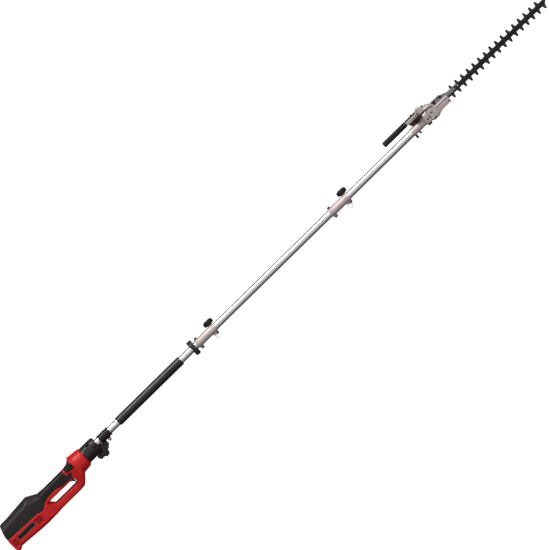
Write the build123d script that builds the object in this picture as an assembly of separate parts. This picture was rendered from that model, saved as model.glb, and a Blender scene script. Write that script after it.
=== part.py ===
from build123d import *
import math
import os

# Pole hedge trimmer: a battery handle with its motor, a pole of three sections, and a blade
# head that tilts. X runs along the pole towards the blade tip, Y to the left and Z up.
# Here X starts at the rear of the handle and Z at the pole axis. save() moves each piece to
# the stored origin, half way along the tool on the surface that the handle stands on.

# ---- driving dimensions, in millimetres
OVERALL_LENGTH = 2511.0
POLE_HEIGHT = 74.0
RUNNING = 0.05
GAP = 0.4
WALL = 3.0

# handle
HANDLE_HALF_WIDTH = 38.0
GRIP_HALF_WIDTH = 20.0
COLLAR_START = 327.0
COLLAR_END = 376.0
LOOP_START = 184.0
LOOP_END = 301.0
LOOP_TOP = -26.0
LOOP_BOTTOM = -49.5
WAIST_X = 178.0
BULKHEAD_X = 127.0
BATTERY_END = 117.0
BATTERY_HALF_WIDTH = 34.5
BATTERY_CORNER = 8.0
BATTERY_LOW = -62.0
BATTERY_HIGH = -13.0
NOSE_END = 434.0
NOSE_RADIUS = 30.0
NOSE_AXIS_Z = -3.0
MOTOR_START = 331.0
MOTOR_END = 394.0
MOTOR_RADIUS = 25.0
NOSE_BOLT_X = 427.0
NOSE_BOLT_Z = -38.5

# pole
TUBE_RADIUS = 12.5
TUBE_BORE = 11.0
SHAFT_RADIUS = 3.5
HEX_FLATS = 6.0
REAR_TUBE = (402.0, 936.0)
MIDDLE_TUBE = (939.0, 1552.0)
FRONT_TUBE = (1555.0, 1935.0)
COUPLING_STARTS = (896.0, 1512.0)
COUPLING_LENGTH = 84.0
COUPLING_RADIUS = 15.0
CLAMP_Y = 17.0
CLAMP_REAR = 10.0
CLAMP_FRONT = 77.0
PIN_OFFSET = 67.0
BOSS_LOW = -22.0
REAR_BOSS_HIGH = 12.0
FRONT_BOSS_HIGH = 15.1

# head
PIVOT_X = 1957.0
KNUCKLE_RADIUS = 20.5
KNUCKLE_LOW = -10.0
KNUCKLE_HIGH = 26.0
PIVOT_RADIUS = 4.0
TILT_STEP = 25.0
LOCK_RADIUS = 30.0
LOCK_FLOOR = 25.9
CRANK_X = 2002.0
CRANK_Z = 3.0
CRANK_SHAFT_RADIUS = 2.0
ECCENTRICITY = 6.55
ECCENTRIC_RADIUS = 7.2
YOKE_CLEARANCE = 1.5
LEVER_Z = 37.0
CASE_SPLIT_Y = 11.1
CASE_BACK_Y = 20.0
ARM_LOW = -14.6

# blades
BLADE_PITCH = 4 * ECCENTRICITY
BLADE_THICKNESS = 2.5
BLADE_Y = (11.4, 14.2)
BLADE_STRIP_HALF = 8.25
BLADE_TIP_HALF = 22.0
BLADE_END = 2505.0
TOOTH_TIP_RADIUS = 3.9
TOOTH_BASE_HALF = 6.6
UPPER_TEETH = (2087.0, 16)
LOWER_TEETH = (2077.0, 17)
GUIDE_Y = (8.1, 11.1)
GUIDE_Z = (-0.5, 11.5)
GUIDE_START = 2109.6
BLADE_BOLTS = (2101.0, 2173.5, 2246.0, 2319.0, 2392.0, 2465.0)
BLADE_BOLT_Z = 5.0
HOLDER_BOLT_RADIUS = 2.7
YOKE_SLOT_X = ECCENTRIC_RADIUS + YOKE_CLEARANCE
YOKE_SLOT_Z = ECCENTRIC_RADIUS + ECCENTRICITY + 0.3
YOKE_HALF_X = YOKE_SLOT_X + 3.2
YOKE_HALF_Z = YOKE_SLOT_Z + 2.1
HOLDER_BOLTS = ((2012, 22.7), (2040, 20.0))


# ---- basic shapes
def rod_x(x0, x1, radius, y=0.0, z=0.0):
    return Pos((x0 + x1) / 2, y, z) * Rot(0, 90, 0) * Cylinder(radius, x1 - x0)


def rod_y(y0, y1, radius, x, z):
    return Pos(x, (y0 + y1) / 2, z) * Rot(90, 0, 0) * Cylinder(radius, y1 - y0)


def rod_z(z0, z1, radius, x, y=0.0):
    return Pos(x, y, (z0 + z1) / 2) * Cylinder(radius, z1 - z0)


def ring_x(x0, x1, outer, inner):
    return rod_x(x0, x1, outer) - rod_x(x0 - 1, x1 + 1, inner)


def block(x0, x1, y0, y1, z0, z1):
    return Pos((x0 + x1) / 2, (y0 + y1) / 2, (z0 + z1) / 2) * Box(x1 - x0, y1 - y0, z1 - z0)


def side_face(points, y, radius=0.0):
    corners = [(x, y, z) for x, z in points]
    if radius:
        return make_face(FilletPolyline(*corners, radius=radius, close=True))
    return make_face(Polyline(*corners, close=True))


def side_plate(points, y0, y1, radius=0.0):
    """A plate with its outline in the XZ plane, from y0 to y1."""
    return extrude(side_face(points, y0, radius), amount=y1 - y0, dir=(0, 1, 0))


def hexagon_z(z0, z1, flats, x, y=0.0):
    return Pos(x, y, z0) * extrude(RegularPolygon(flats / 2, 6, major_radius=False), z1 - z0)


def hexagon_x(x0, x1, flats):
    prism = extrude(RegularPolygon(flats / 2, 6, major_radius=False), x1 - x0)
    return Pos(x0, 0, 0) * Rot(0, 90, 0) * prism


def hexagon_y(y0, y1, flats, x, z):
    prism = extrude(RegularPolygon(flats / 2, 6, major_radius=False), y1 - y0)
    return Pos(x, y0, z) * Rot(-90, 0, 0) * prism


def toothed_disc(root, tip, teeth, width):
    """A gear blank about Z from z = 0, with straight tapered teeth."""
    step = 2 * math.pi / teeth
    outline = []
    for i in range(teeth):
        for part, radius in ((-0.30, root), (-0.14, tip), (0.14, tip), (0.30, root)):
            angle = (i + part) * step
            outline.append((radius * math.cos(angle), radius * math.sin(angle)))
    return extrude(make_face(Polyline(*outline, close=True)), width)


def star(radius, lobes, valley_radius, thickness):
    """A knob head about Z from z = 0, with scallops between its lobes."""
    head = Pos(0, 0, thickness / 2) * Cylinder(radius, thickness)
    reach = radius + valley_radius * 0.45
    for i in range(lobes):
        angle = (i + 0.5) * 360 / lobes
        head -= Rot(0, 0, angle) * Pos(reach, 0, thickness / 2) * Cylinder(
            valley_radius, 2 * thickness
        )
    rims = head.edges().group_by(Axis.Z)
    return fillet(rims[0] + rims[-1], 1.8)


def save(name, *shapes):
    placed = [Pos(-OVERALL_LENGTH / 2, 0, POLE_HEIGHT) * shape for shape in shapes]
    solids = [solid for shape in placed for solid in shape.solids()]
    whole = solids[0] if len(solids) == 1 else Compound(solids)
    export_step(whole, f"parts/{name}.step")


# ---- handle shells
# Each station along the handle: x, lowest z, highest z, half width, corner radius.
HANDLE_STATIONS = (
    (0, -73, 24, 38, 14),
    (15, -73, 26.5, 38, 14),
    (24, -66.5, 27, 38, 14),
    (43, -67.5, 27.5, 38, 14),
    (109, -73, 33, 38, 15),
    (140, -74, 36, 38, 15),
    (WAIST_X, -74, 15.5, 31, 12),
    (206, -74, 15.5, GRIP_HALF_WIDTH, 10),
    (290, -74, 16, GRIP_HALF_WIDTH, 10),
    (310, -71, 17.5, 27, 12),
    (320, -62, 19, 32, 14),
    (COLLAR_START, -55, 33, 36.5, 22),
    (341, -42, 33, 37.5, 34),
    (COLLAR_END, -38.5, 30, 34, 31),
)
LOOP_OUTLINE = (
    (LOOP_START, LOOP_TOP),
    (LOOP_END, LOOP_TOP),
    (LOOP_END, LOOP_BOTTOM),
    (LOOP_START + 17, LOOP_BOTTOM),
)
HOOD_OUTLINE = (
    (-5, -18),
    (76, -21),
    (132, -23),
    (155, -30),
    (WAIST_X, -15.2),
    (WAIST_X, 60),
    (-5, 60),
)
GRIP_OUTLINE = (
    (WAIST_X, -15.2),
    (184, -12.5),
    (234, -10.6),
    (254, -21),
    (297, -21),
    (309, -4.5),
    (287, -4.5),
    (287, 60),
    (WAIST_X, 60),
)
LABEL_OUTLINE = ((31, -30), (101, -30), (109, -46), (31, -46))
HOUSING_SCREWS = ((225, -64, 20), (284, -66, 20), (352, -20, 37.2))
CONTACT_Y = (-12, -4, 4, 12)
REAR_LEAN = ((-5, 60), (13, 60), (12, 25), (3, 3), (0, -18), (-5, -18))
TRIGGER_PIVOT = (252.0, -17.0)


def handle_loft(inset, first_x, last_x):
    faces = []
    for x, low, high, half_width, corner in HANDLE_STATIONS:
        at = min(max(x, first_x), last_x)
        plane = Plane(origin=(at, 0, (low + high) / 2), x_dir=(0, 1, 0), z_dir=(1, 0, 0))
        width = 2 * (half_width - inset)
        height = high - low - 2 * inset
        faces.append(plane * RectangleRounded(width, height, corner - inset))
    return loft(faces, ruled=True)


def battery_outline(x0, x1, grow):
    height = BATTERY_HIGH - BATTERY_LOW + 2 * grow
    plane = Plane(
        origin=(x0, 0, (BATTERY_HIGH + BATTERY_LOW) / 2), x_dir=(0, 1, 0), z_dir=(1, 0, 0)
    )
    body = extrude(
        plane * RectangleRounded(2 * (BATTERY_HALF_WIDTH + grow), height, BATTERY_CORNER), x1 - x0
    )
    rail = block(x0, x1, -20 - grow, 20 + grow, BATTERY_HIGH - 1, BATTERY_HIGH + 5 + grow)
    return body + rail


def handle_shell():
    """The whole outer shell in one piece, before it is split into its covers."""
    outer = handle_loft(0, 0, COLLAR_END)
    hollow = handle_loft(WALL, WALL, COLLAR_END - WALL)
    loop_wall = extrude(
        offset(side_face(LOOP_OUTLINE, -60), amount=WALL), amount=120, dir=(0, 1, 0)
    )
    hollow -= loop_wall
    hollow -= block(BULKHEAD_X, BULKHEAD_X + WALL, -60, 60, -80, 60)
    shell = outer - hollow
    shell -= side_plate(LOOP_OUTLINE, -60, 60, 6)
    shell -= side_plate(REAR_LEAN, -60, 60)
    shell -= battery_outline(-5, WALL + 1, 0.5)
    shell -= rod_x(COLLAR_END - 5, COLLAR_END + 1, 28 + RUNNING, z=NOSE_AXIS_Z)
    shell -= block(BULKHEAD_X - 1, BULKHEAD_X + 5, -12, 12, -22, -4)
    slot_start = TRIGGER_PIVOT[0] - 7
    shell -= block(slot_start, LOOP_END, -6.6, 6.6, LOOP_TOP - 8, LOOP_TOP + WALL + 1)
    shell -= block(299.5, 326.5, -9.4, 9.4, 6, 40)
    return shell


def handle_covers():
    shell = handle_shell()
    plates = label_plates()
    screws = housing_screws()
    for piece in plates + screws:
        shell -= piece
    save("label_plates", *plates)
    pivot_x, pivot_z = TRIGGER_PIVOT
    save("housing_fasteners", *screws, rod_y(-16.9, 16.9, 2, pivot_x, pivot_z))
    hood = side_plate(HOOD_OUTLINE, -60, 60)
    grip = side_plate(GRIP_OUTLINE, -60, 60)
    bezel = block(295, 326.5, -60, 60, 0.5, 19.5)
    red = shell - hood - grip - bezel
    save("housing_left", red & block(-10, 400, 0, 60, -90, 60))
    save("housing_right", red & block(-10, 400, -60, 0, -90, 60))
    save("rear_hood", shell & hood)
    save("grip_cover", shell & grip, shell & bezel)


def handle_controls():
    pivot_x, pivot_z = TRIGGER_PIVOT
    outline = (
        (pivot_x - 5, pivot_z + 3.5),
        (pivot_x + 7, pivot_z + 3.5),
        (288, -18),
        (298.2, -20),
        (298.6, -30),
        (298.0, -44),
        (296.0, -45.5),
        (292.5, -38),
        (288, -32),
        (282, -29.5),
        (pivot_x - 5, -29.5),
    )
    trigger = side_plate(outline, -6, 6, 1.4)
    trigger -= rod_y(-7, 7, 2 + RUNNING, pivot_x, pivot_z)
    save("trigger", trigger)
    button = side_plate(
        ((300, 7), (300, 17.5), (314, 20), (320, 26), (325, 26), (325.8, 20), (325.8, 7)), -9, 9, 0.8
    )
    save("lock_off_button", button)
    module = block(262, 292, -8, 8, -11, 5.5)
    module += block(268, 274, -3, 3, -13, -11)
    save("switch_module", module)


def label_plates():
    plates = []
    for side in (-1, 1):
        y0, y1 = sorted((side * (HANDLE_HALF_WIDTH - 0.2), side * (HANDLE_HALF_WIDTH + 0.6)))
        plate = side_plate(LABEL_OUTLINE, y0, y1, 1.5)
        plates.append(plate)
    return plates


def housing_screws():
    """The heads of the screws that hold the two halves, on the left side."""
    screws = []
    for x, z, half_width in HOUSING_SCREWS:
        screws.append(rod_y(half_width - 1.5, half_width + 0.3, 3.4, x, z))
    return screws


def handle_electrics():
    board = block(134, 170, -22, 22, -4, -2.4)
    board += block(138, 150, -14, -4, -2.4, 8)
    board += block(154, 166, -10, 10, -2.4, 3)
    for y in (6, 14):
        board += rod_z(-2.4, 9, 3.5, 144, y)
    save("control_board", board)
    terminals = block(BATTERY_END + 1, BULKHEAD_X, -22, 22, -20, -4)
    for y in CONTACT_Y:
        terminals += block(BATTERY_END - 10, BATTERY_END + 1, y - 0.4, y + 0.4, -18, -11)
    save("battery_terminals", terminals)


def battery():
    case = battery_outline(1.5, BATTERY_END, 0)
    case -= block(4, BATTERY_END - 12, -33, 33, BATTERY_LOW + 12, BATTERY_HIGH - 9)
    case -= block(4, BATTERY_END - 12, -22, 22, BATTERY_LOW + 2, BATTERY_HIGH - 3)
    cells = []
    for x in range(5):
        for z in (-49.9, -31.4):
            cells.append(rod_y(-32.5, 32.5, 9.1, 15.5 + 19 * x, z))
    for cell in cells:
        case -= cell
    for y in CONTACT_Y:
        case -= block(BATTERY_END - 11.5, BATTERY_END + 1, y - 1, y + 1, -19, -10)
    case -= block(1, 5.5, -10.4, 10.4, -20.4, -11.6)
    save("battery_case", case)
    save("battery_cells", *cells)
    save("battery_release_button", block(0.6, 2.4, -10, 10, -20, -12))


# ---- motor and nose
def motor():
    can = rod_x(MOTOR_START, MOTOR_END, MOTOR_RADIUS) - rod_x(
        MOTOR_START + 2, MOTOR_END - 2, MOTOR_RADIUS - 1.6
    )
    can -= rod_x(MOTOR_START - 1, MOTOR_END + 1, 6)
    bearings = []
    for x in (MOTOR_START + 2, MOTOR_END - 10):
        can += ring_x(x, x + 8, 11.5, 9)
        bearings.append(ring_x(x + 1, x + 7, 9, 4 + RUNNING))
    magnets = ring_x(343, 382, MOTOR_RADIUS - 1.6, 16.5)
    magnets -= block(340, 390, -30, 30, -2, 2)
    save("motor_stator", can, magnets, *bearings)
    core = toothed_disc(12.5, 15.8, 12, 36)
    rotor = Pos(344.5, 0, 0) * Rot(0, 90, 0) * core
    rotor += rod_x(326, 412, 4)
    save("rotor", rotor)
    coupler = rod_x(398.5, 420, 8) - rod_x(398, 412.5, 4) - rod_x(412.5, 421, SHAFT_RADIUS)
    save("shaft_coupler", coupler)


def nose():
    shape = rod_x(COLLAR_END, NOSE_END, NOSE_RADIUS, z=NOSE_AXIS_Z)
    shape = fillet(shape.edges().sort_by(Axis.X)[-1], 7)
    shape += rod_x(COLLAR_END - 5, COLLAR_END + 1, 28, z=NOSE_AXIS_Z)
    for i in range(12):
        turn = Rot(30 * i + 15, 0, 0)
        rib = Pos((382 + 414) / 2, 0, NOSE_RADIUS) * Box(32, 7, 3)
        shape -= Pos(0, 0, NOSE_AXIS_Z) * turn * rib
    ear = side_plate(
        ((409, -29), (414, -43), (421, -47), (433, -47), (463, -30), (463, -15), (430, -15)), -9, 9
    )
    ear += rod_y(-9, 30, 8.2, NOSE_BOLT_X, NOSE_BOLT_Z)
    shape += ear - rod_x(NOSE_END - 11, 470, 17.5)
    shape -= rod_x(COLLAR_END - 6, 397, MOTOR_RADIUS + 1.2)
    shape -= rod_x(396, NOSE_END + 1, TUBE_RADIUS + RUNNING)
    shape -= rod_y(-6, 31, 4 + RUNNING, NOSE_BOLT_X, NOSE_BOLT_Z)
    save("nose_coupling", shape)
    head = Rot(90, 0, 0) * star(27, 5, 10, 15)
    knob = Pos(NOSE_BOLT_X, 45.8, NOSE_BOLT_Z) * head
    save("nose_clamp_knob", knob + rod_y(-5.5, 32, 4, NOSE_BOLT_X, NOSE_BOLT_Z))


# ---- pole
def bushes(name, centres):
    save(name, *[ring_x(x - 6, x + 6, TUBE_BORE - 0.02, SHAFT_RADIUS + RUNNING) for x in centres])


def tube(span):
    return ring_x(span[0], span[1], TUBE_RADIUS, TUBE_BORE)


def pin_slot(tube_start):
    """The slot, open at the tube's end, that the coupling's spring pin runs in."""
    return block(tube_start - 1, tube_start + 27, -2.9, 2.9, -15, -8)


def driven_shaft(start, end):
    """A shaft with a hexagon socket at its rear end and a hexagon at its front end."""
    shaft = rod_x(start, start + 21, 6.5) + rod_x(start + 20, end, SHAFT_RADIUS)
    shaft -= hexagon_x(start - 1, start + 18, HEX_FLATS + 0.4)
    return shaft


def pole_sections():
    save("rear_tube", tube(REAR_TUBE))
    save("middle_tube", tube(MIDDLE_TUBE) - pin_slot(MIDDLE_TUBE[0]))
    save("front_tube", tube(FRONT_TUBE) - pin_slot(FRONT_TUBE[0]))
    bushes("rear_tube_bushes", (480, 640, 800, 918))
    bushes("middle_tube_bushes", (990, 1170, 1350, 1530))
    bushes("front_tube_bushes", (1606, 1720, 1830, 1922))
    rear = rod_x(413, 941, SHAFT_RADIUS) + hexagon_x(940, 957, HEX_FLATS)
    save("rear_shaft", rear)
    middle = driven_shaft(941, 1557) + hexagon_x(1556, 1573, HEX_FLATS)
    save("middle_shaft", middle)
    save("front_shaft", driven_shaft(1557, 1945))


def pole_fittings():
    collar = ring_x(447, 493, 16.5, TUBE_RADIUS + RUNNING)
    for x in (453, 461, 469, 477, 485):
        collar -= ring_x(x, x + 2.5, 18, 15.3)
    collar += block(470, 480, -4, 4, -21, -15) - rod_x(469, 481, 15)
    collar += rod_y(-4, 4, 6, 475, -21)
    collar -= rod_y(-5, 5, 2.25, 475, -21)
    save("strap_collar", collar)
    grip = rod_x(533, 824, 16)
    grip = fillet(grip.edges().filter_by(GeomType.CIRCLE), 2)
    save("foam_grip", grip - rod_x(530, 830, TUBE_RADIUS + RUNNING))
    disc = rod_x(873, 891, 28)
    disc = fillet(disc.edges().filter_by(GeomType.CIRCLE), 3)
    for i in range(20):
        disc -= Rot(18 * i, 0, 0) * rod_x(869, 892, 2.6, z=29.2)
    for face_x, side in ((873, -1), (891, 1)):
        disc -= rod_y(-30, 30, 30, face_x + side * 27, 0)
    save("hand_stop_ring", disc - rod_x(869, 892, TUBE_RADIUS + RUNNING))


def coupling(number, start):
    end = start + COUPLING_LENGTH
    body = rod_x(start, end, COUPLING_RADIUS)
    clamps = ((CLAMP_REAR, REAR_BOSS_HIGH), (CLAMP_FRONT, FRONT_BOSS_HIGH))
    for offset_x, boss_high in clamps:
        x = start + offset_x
        body += block(x - 7, x + 7, 8, CLAMP_Y, -9, 9)
        body += rod_z(BOSS_LOW, boss_high, 7, x, CLAMP_Y)
    pin_x = start + PIN_OFFSET
    body += rod_z(-17, -10, 6.5, pin_x)
    body -= rod_x(start - 1, end + 1, TUBE_RADIUS + RUNNING)
    body -= block(start - 1, end + 1, TUBE_RADIUS - 1, 30, -0.8, 0.8)
    for offset_x, boss_high in clamps:
        body -= rod_z(BOSS_LOW - 1, boss_high + 1, 3 + RUNNING, start + offset_x, CLAMP_Y)
    body -= rod_z(-18, -9, 2.5 + RUNNING, pin_x)
    save(f"coupling_{number}_body", body)

    rear_x = start + CLAMP_REAR
    front_x = start + CLAMP_FRONT
    nut_low = BOSS_LOW - 5
    bolt = rod_z(nut_low + 1, REAR_BOSS_HIGH + 1, 3, rear_x, CLAMP_Y)
    bolt += hexagon_z(REAR_BOSS_HIGH + 0.1, REAR_BOSS_HIGH + 4.5, 10, rear_x, CLAMP_Y)
    nuts = []
    for x in (rear_x, front_x):
        nut = hexagon_z(nut_low, BOSS_LOW - 0.1, 10, x, CLAMP_Y)
        nuts.append(nut - rod_z(nut_low - 1, BOSS_LOW + 1, 3 + RUNNING, x, CLAMP_Y))
    save(f"coupling_{number}_bolts", bolt, *nuts)
    knob = Pos(front_x, CLAMP_Y, FRONT_BOSS_HIGH + 0.3) * star(18.5, 6, 7, 14)
    stud = rod_z(nut_low + 1, FRONT_BOSS_HIGH + 1, 3, front_x, CLAMP_Y)
    save(f"coupling_{number}_knob", knob + stud)

    eye_z = -19.5
    pin = rod_z(-22.5, -9.5, 2.5, pin_x)
    ring = Torus(8.5, 1.0)
    if number == 1:
        pin -= rod_y(-4, 4, 1.4, pin_x, eye_z)
        ring = Rot(0, 90, 0) * ring
    else:
        pin -= rod_x(pin_x - 4, pin_x + 4, 1.4, z=eye_z)
        ring = Rot(90, 0, 0) * ring
    save(f"coupling_{number}_pull_pin", pin, Pos(pin_x, 0, eye_z - 8.5) * ring)


# ---- head: the socket on the pole
def head_socket():
    shape = rod_x(1891, 1945, 14.8) + rod_x(1891, 1902, 15.5)
    barrel = rod_z(KNUCKLE_LOW, KNUCKLE_HIGH, KNUCKLE_RADIUS, PIVOT_X)
    shape += fillet(barrel.edges().sort_by(Axis.Z)[-1], 5)
    shape -= rod_z(KNUCKLE_LOW + WALL, KNUCKLE_HIGH - WALL, KNUCKLE_RADIUS - WALL, PIVOT_X)
    shape -= rod_x(1890, 1936, TUBE_RADIUS + RUNNING)
    shape -= rod_x(1935, PIVOT_X, 6.8)
    shape -= block(PIVOT_X, PIVOT_X + 30, -30, 30, -4.2, 4.2)
    shape -= rod_z(KNUCKLE_LOW - 1, KNUCKLE_HIGH + 1, PIVOT_RADIUS, PIVOT_X)
    screws = (
        rod_z(-26, -13.2, 4, 1896) + hexagon_z(-26, -22, 7, 1896),
        rod_z(-22, -13.2, 3.2, 1913),
    )
    for screw in screws:
        shape -= screw
    save("head_socket", shape)
    bolt = rod_z(-21.5, -14.8, 8.5, PIVOT_X) - hexagon_z(-22, -18, 6, PIVOT_X)
    bolt += rod_z(-14.9, 46, PIVOT_RADIUS, PIVOT_X)
    save("pivot_bolt", bolt, *screws)


def lock_sector():
    sector = rod_z(22, 28.5, LOCK_RADIUS + 6, PIVOT_X)
    sector -= block(PIVOT_X - 4, PIVOT_X + 60, -60, 60, 20, 30)
    sector -= rod_z(21, KNUCKLE_HIGH, KNUCKLE_RADIUS + 0.8, PIVOT_X)
    sector += rod_z(KNUCKLE_HIGH, 28.5, 17, PIVOT_X)
    sector -= rod_z(20, 30, PIVOT_RADIUS, PIVOT_X)
    foot = side_plate(((1901, 28.5), (1934, 28.5), (1930, 15), (1909, 15)), -8, 8)
    sector += foot - rod_x(1890, 1940, 15.55)
    groove = rod_z(LOCK_FLOOR, 30, LOCK_RADIUS + 2.8, PIVOT_X)
    sector -= groove - rod_z(20, 31, LOCK_RADIUS - 2.8, PIVOT_X)
    for i in range(-3, 4):
        angle = math.radians(180 + TILT_STEP * i)
        x = PIVOT_X + LOCK_RADIUS * math.cos(angle)
        notch = rod_z(LOCK_FLOOR - 1.5, LOCK_FLOOR + 0.5, 2.65, x, LOCK_RADIUS * math.sin(angle))
        sector -= notch
    save("lock_sector", sector)


def pivot_cap():
    cap = rod_z(37.4, 52, 7, PIVOT_X)
    cap = fillet(cap.edges().sort_by(Axis.Z)[-1], 5)
    save("pivot_cap", cap - rod_z(37, 46, PIVOT_RADIUS, PIVOT_X))


# ---- head: gears
def gears():
    bevel = Pos(1941.5, 0, 0) * Rot(0, 90, 0) * toothed_disc(4.9, 6.4, 11, 7)
    bevel -= rod_x(1941, 1946, SHAFT_RADIUS)
    save("input_bevel", bevel)
    crown = rod_z(8.2, 21.5, 9, PIVOT_X)
    crown += Pos(PIVOT_X, 0, 6.7) * toothed_disc(13.2, 15.6, 26, 4)
    save("idler_bevel", crown - rod_z(5, 23, PIVOT_RADIUS + RUNNING, PIVOT_X))
    output = Pos(1965, 0, 0) * Rot(0, 90, 0) * toothed_disc(4.9, 6.4, 11, 6)
    output += rod_x(1970, 1996, SHAFT_RADIUS)
    output += Pos(1989, 0, 0) * Rot(0, 90, 0) * toothed_disc(4.2, 5.6, 9, 6)
    save("output_shaft", output)
    wheel = Pos(CRANK_X, 10.6, CRANK_Z) * Rot(90, 0, 0) * toothed_disc(13.4, 14.9, 36, 4.4)
    wheel += rod_y(-12.4, 19.4, CRANK_SHAFT_RADIUS, CRANK_X, CRANK_Z)
    wheel += rod_y(-5.8, 6.6, SHAFT_RADIUS, CRANK_X, CRANK_Z)
    for (y0, side) in ((BLADE_Y[0] - 0.2, 1), (BLADE_Y[1] - 0.1, -1)):
        z = CRANK_Z + side * ECCENTRICITY
        wheel += rod_y(y0, y0 + 2.8, ECCENTRIC_RADIUS, CRANK_X, z)
    save("crank_gear", wheel)
    shaft_bearing = ring_x(1980, 1987, 7.5, SHAFT_RADIUS + RUNNING)
    crank_bearings = []
    for y0, y1 in ((-12.5, -6), (17.3, 19.7)):
        outer = rod_y(y0, y1, 7, CRANK_X, CRANK_Z)
        bore = rod_y(y0 - 1, y1 + 1, CRANK_SHAFT_RADIUS + RUNNING, CRANK_X, CRANK_Z)
        crank_bearings.append(outer - bore)
    save("head_bearings", shaft_bearing, *crank_bearings)


# ---- head: gear case and lever
CASE_OUTLINE = (
    (1968, ARM_LOW),
    (1975, -20),
    (1997, -20),
    (2013, -14),
    (2020, -13),
    (2059, -13),
    (2059, 6),
    (2053, 14),
    (2009, 14),
    (2004, 27),
    (1990, 37),
    (1968, 37),
)
CASE_SCREWS = ((1995.5, 24.5), (1982, 9.5), (1983, -13.5), (2052, -9))


def gear_case():
    front = side_plate(CASE_OUTLINE, -16, 8, 1.5)
    front -= block(2010, 2070, -30, -11.5, -30, 60)
    front += rod_z(29.3, 37, 13, PIVOT_X) + block(PIVOT_X, 1990, -13, 13, 29.3, 37)
    front += rod_z(ARM_LOW, KNUCKLE_LOW - GAP, 12, PIVOT_X)
    front += block(PIVOT_X, 1980, -11, 11, ARM_LOW, KNUCKLE_LOW - GAP)
    swept = rod_z(KNUCKLE_LOW - GAP, 29.3, KNUCKLE_RADIUS + 0.9, PIVOT_X)
    swept += rod_z(21.5, 29.3, LOCK_RADIUS + 7, PIVOT_X)
    front -= swept
    front += rod_y(7, CASE_SPLIT_Y, 18, CRANK_X, CRANK_Z) - block(1990, 2030, 0, 20, 14, 30)
    front -= swept
    front -= rod_y(-6, CASE_SPLIT_Y + 1, 15.6, CRANK_X, CRANK_Z)
    front -= rod_y(-12.5, -5, 7, CRANK_X, CRANK_Z)
    front -= rod_x(1975, 1992, SHAFT_RADIUS + 0.6)
    front -= rod_x(1980, 1990, 7.5)
    front -= block(2024, 2055, -9, 9, -10, 3)
    front -= rod_z(-20, 40, PIVOT_RADIUS + RUNNING, PIVOT_X)
    screws = []
    for x, z in CASE_SCREWS:
        face_y = -16 if x < 2010 else -11.5
        screw = rod_y(face_y - 1.6, face_y, 2.9, x, z) + rod_y(face_y - 0.1, 5, 1.6, x, z)
        front -= rod_y(face_y - 0.1, 5, 1.6, x, z)
        screws.append(screw)
    lever_screws = []
    for y in (-8.5, 8.5):
        shank = rod_z(31, 42.1, 1.6, 1974, y)
        front -= shank
        lever_screws.append(rod_z(42, 44, 3, 1974, y) + shank)
    save("gear_case_front", front)

    back_outline = (
        (1978, -17.5),
        (2006, -17.5),
        (2022, -14.6),
        (2059, -12),
        (2059, 12),
        (2040, 27.2),
        (2000, 27.2),
        (1990, 21.3),
        (1978, 21.3),
    )
    back = side_plate(back_outline, CASE_SPLIT_Y, CASE_BACK_Y, 1)
    travel = ECCENTRICITY + GAP
    back -= block(CRANK_X - YOKE_HALF_X - travel, CRANK_X + YOKE_HALF_X + travel + 4, 11, 17.2,
                  CRANK_Z - YOKE_HALF_Z - GAP, CRANK_Z + YOKE_HALF_Z + GAP)
    back -= block(2010, 2060, 11, 17.2, CRANK_Z - 8.7, CRANK_Z + 8.7)
    back -= rod_y(17, 19.7, 7, CRANK_X, CRANK_Z)
    for x, z in HOLDER_BOLTS:
        back -= rod_y(10, CASE_BACK_Y + 1, HOLDER_BOLT_RADIUS, x, z)
    save("gear_case_back", back)
    return screws + lever_screws


def lever(screws):
    arm = side_plate(
        ((1897, 30.5), (1897, 41.5), (1903, 42), (1980, 42), (1980, 37.1), (1943, 37.1),
         (1943, 29.5), (1902, 29.5)), -7, 7
    )
    arm += rod_z(37.1, 42, 13, PIVOT_X) + block(PIVOT_X, 1980, -13, 13, 37.1, 42)
    arm -= rod_z(36, 43, 7.5, PIVOT_X)
    arm += rod_x(1840, 1898, 5, z=LEVER_Z)
    for side in (-1, 1):
        y0, y1 = sorted((side * 5, side * 7))
        arm += block(1942.5, 1949, y0, y1, 41, 47)
    arm -= rod_z(25, 45, 2.5 + RUNNING, PIVOT_X - LOCK_RADIUS)
    for screw in screws:
        arm -= screw
    save("lever_arm", arm)
    handle = rod_x(1795, 1896.8, 9.75, z=LEVER_Z)
    handle = fillet(handle.edges().filter_by(GeomType.CIRCLE), 3)
    handle -= rod_x(1840, 1898, 5, z=LEVER_Z)
    save("lever_grip", handle)
    hinge_x = 1946.0
    hinge_z = 44.4
    strip = block(1898, hinge_x + 2, -4.5, 4.5, hinge_z - 1.2, hinge_z + 1.2)
    strip += rod_y(-4.5, 4.5, 2, hinge_x, hinge_z)
    strip -= rod_y(-6, 6, 1.1 + RUNNING, hinge_x, hinge_z)
    strip -= block(1923.6, 1930.4, -2.9, 2.9, 40, 50)
    save("release_lever", strip)
    pawl = rod_z(26.2, 47, 2.5, PIVOT_X - LOCK_RADIUS)
    pawl += rod_z(46.7, 48.5, 3.4, PIVOT_X - LOCK_RADIUS)
    save("lock_pawl", pawl)
    return rod_y(-4.9, 4.9, 1.1, hinge_x, hinge_z)


# ---- blades


def tooth(x, side):
    """One cutting tooth, from the strip to its round tip."""
    base_z = CRANK_Z + side * (BLADE_STRIP_HALF - 1)
    tip_z = CRANK_Z + side * (BLADE_TIP_HALF - TOOTH_TIP_RADIUS)
    taper = make_face(
        Polyline(
            (x - TOOTH_BASE_HALF, base_z),
            (x - TOOTH_TIP_RADIUS, tip_z),
            (x + TOOTH_TIP_RADIUS, tip_z),
            (x + TOOTH_BASE_HALF, base_z),
            close=True,
        )
    )
    return taper + Pos(x, tip_z) * Circle(TOOTH_TIP_RADIUS)


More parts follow.
